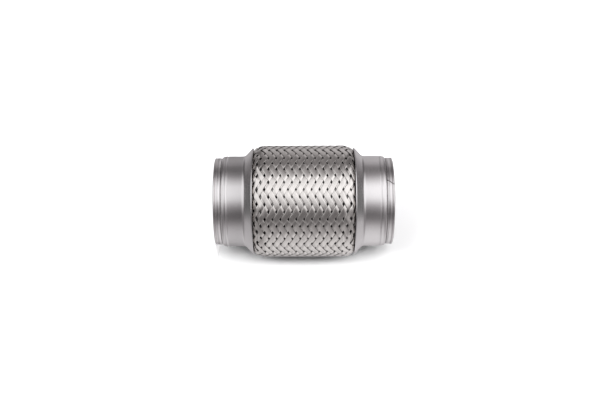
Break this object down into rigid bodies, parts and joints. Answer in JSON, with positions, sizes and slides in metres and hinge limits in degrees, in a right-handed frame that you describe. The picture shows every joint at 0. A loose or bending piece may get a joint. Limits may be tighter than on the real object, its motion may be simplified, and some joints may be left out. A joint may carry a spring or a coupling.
{
  "type": "exhaust flex pipe",
  "caption": "Weld-in exhaust flex pipe: braided steel sleeve over a bellows and a strip-wound liner, with a flared collar and a rolled end ring clamping the layers at each end.",
  "frame": {"origin": "centre of the lower rim, on the plane that the pipe stands on", "axes": "+Z along the pipe from the lower end to the upper end; X is the axis that the pipe bends about; -X is the side the picture shows"},
  "size_m": [0.0636, 0.0636, 0.1],
  "materials": {
    "collar_steel": "smooth drawn stainless sheet, lightly satin",
    "ring_steel": "rolled stainless strip, smooth",
    "braid_steel": "bright drawn stainless wire in flat strands",
    "bellows_steel": "thin formed stainless sheet",
    "liner_steel": "folded stainless strip, dull"
  },
  "bodies": {
    "lower_end": {"lower_collar": "collar_steel", "lower_end_ring": "ring_steel", "outer_braid": "braid_steel", "bellows_outer_ply": "bellows_steel", "bellows_inner_ply": "bellows_steel", "liner": "liner_steel"},
    "upper_end": {"upper_collar": "collar_steel", "upper_end_ring": "ring_steel"}
  },
  "joints": [
    {"name": "flex_bend", "type": "hinge", "parent": "lower_end", "child": "upper_end", "pos_m": [0, 0, 0.05], "axis": [1, 0, 0], "range_deg": [-10, 10], "stiffness_Nm_per_rad": 15, "deforming": ["outer_braid", "bellows_outer_ply", "bellows_inner_ply", "liner"]}
  ]
}
